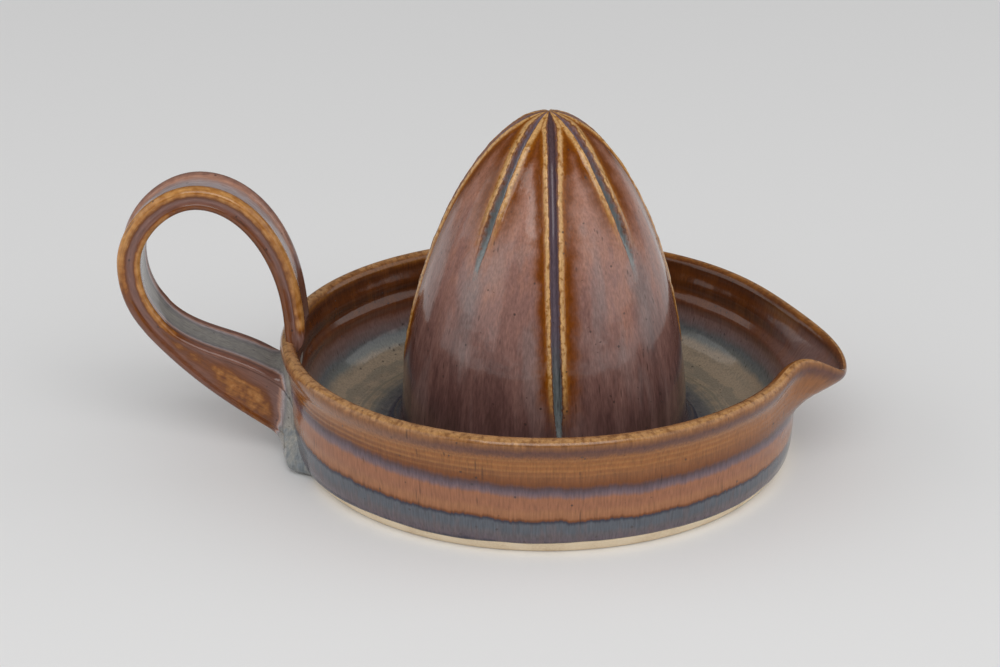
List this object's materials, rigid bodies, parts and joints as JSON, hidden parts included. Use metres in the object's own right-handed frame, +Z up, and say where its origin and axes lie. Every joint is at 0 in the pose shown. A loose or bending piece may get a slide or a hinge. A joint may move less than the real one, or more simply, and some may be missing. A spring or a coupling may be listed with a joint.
{
  "type": "citrus juicer",
  "caption": "Hand-thrown stoneware citrus juicer: a low round dish with a pulled pouring spout, a central fluted reamer cone and a strap handle bent into a finger loop.",
  "frame": {"origin": "on the table, under the middle of the juicer's overall box", "axes": "+X towards the spout, -X towards the handle, +Z up from the table"},
  "size_m": [0.1918, 0.14, 0.095],
  "materials": {
    "bare_clay": "unglazed cream stoneware, sponged smooth",
    "dish_glaze": "glossy amber-brown glaze, breaking tan on edges, with mauve and blue-grey bands",
    "reamer_glaze": "glossy mauve-brown glaze, streaked, amber on the ridges and blue-grey in the grooves",
    "handle_glaze": "glossy mauve-brown glaze, amber on the beaded edges",
    "pooled_glaze": "glossy blue-grey glaze, pooled thick"
  },
  "bodies": {
    "root": {"foot_ring": "bare_clay", "dish": "dish_glaze", "reamer": "reamer_glaze", "reamer_coil": "pooled_glaze", "handle_strap": "handle_glaze", "handle_rim_joint": "handle_glaze", "handle_wall_pad": "pooled_glaze"}
  },
  "joints": []
}
